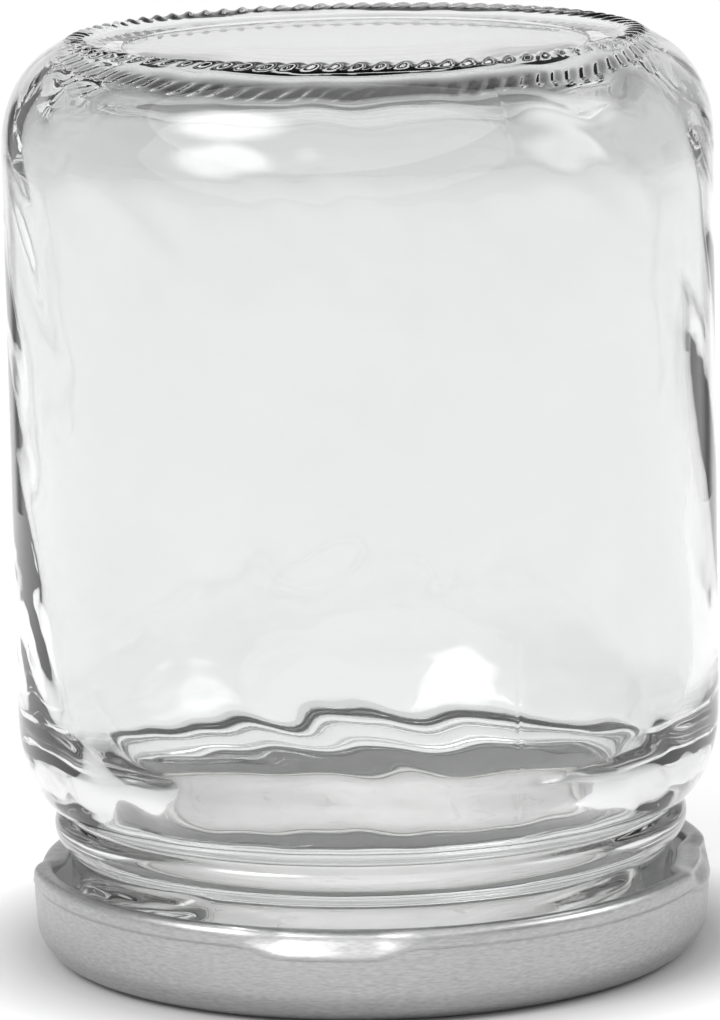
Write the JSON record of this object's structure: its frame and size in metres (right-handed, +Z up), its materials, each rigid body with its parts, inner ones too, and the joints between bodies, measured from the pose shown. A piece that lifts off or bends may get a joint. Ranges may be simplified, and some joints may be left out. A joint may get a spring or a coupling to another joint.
{
  "type": "empty candle jar",
  "caption": "Cylindrical clear glass candle jar standing upside down on its satin silver twist-off lug lid, with a knurled base ring, transfer bead and soft liner in the lid.",
  "frame": {"origin": "on the surface under the lid, on the axis of the jar, with the jar upside down on its lid", "axes": "+Z up along the axis of the jar, from the lid to the jar's base; -Y is the front, on the side of the lug nearest the viewer"},
  "size_m": [0.0706, 0.0706, 0.0924],
  "materials": {
    "clear_glass": "clear, smooth, slightly uneven moulded glass",
    "satin_tinplate": "satin silver lacquered tinplate with faint brushing",
    "plastisol_liner": "soft matte liner compound"
  },
  "bodies": {
    "lid": {"lid_shell": "satin_tinplate"},
    "liner": {"sealing_ring": "plastisol_liner"},
    "jar": {"glass_jar": "clear_glass"}
  },
  "joints": [
    {"name": "jar_twist", "type": "hinge", "parent": "lid", "child": "liner", "pos_m": [0, 0, 0.0017], "axis": [0, 0, -1], "range_deg": [-15, 10]},
    {"name": "jar_lift", "type": "slide", "parent": "liner", "child": "jar", "axis": [0, 0, 1], "range_m": [0, 0.04]}
  ]
}
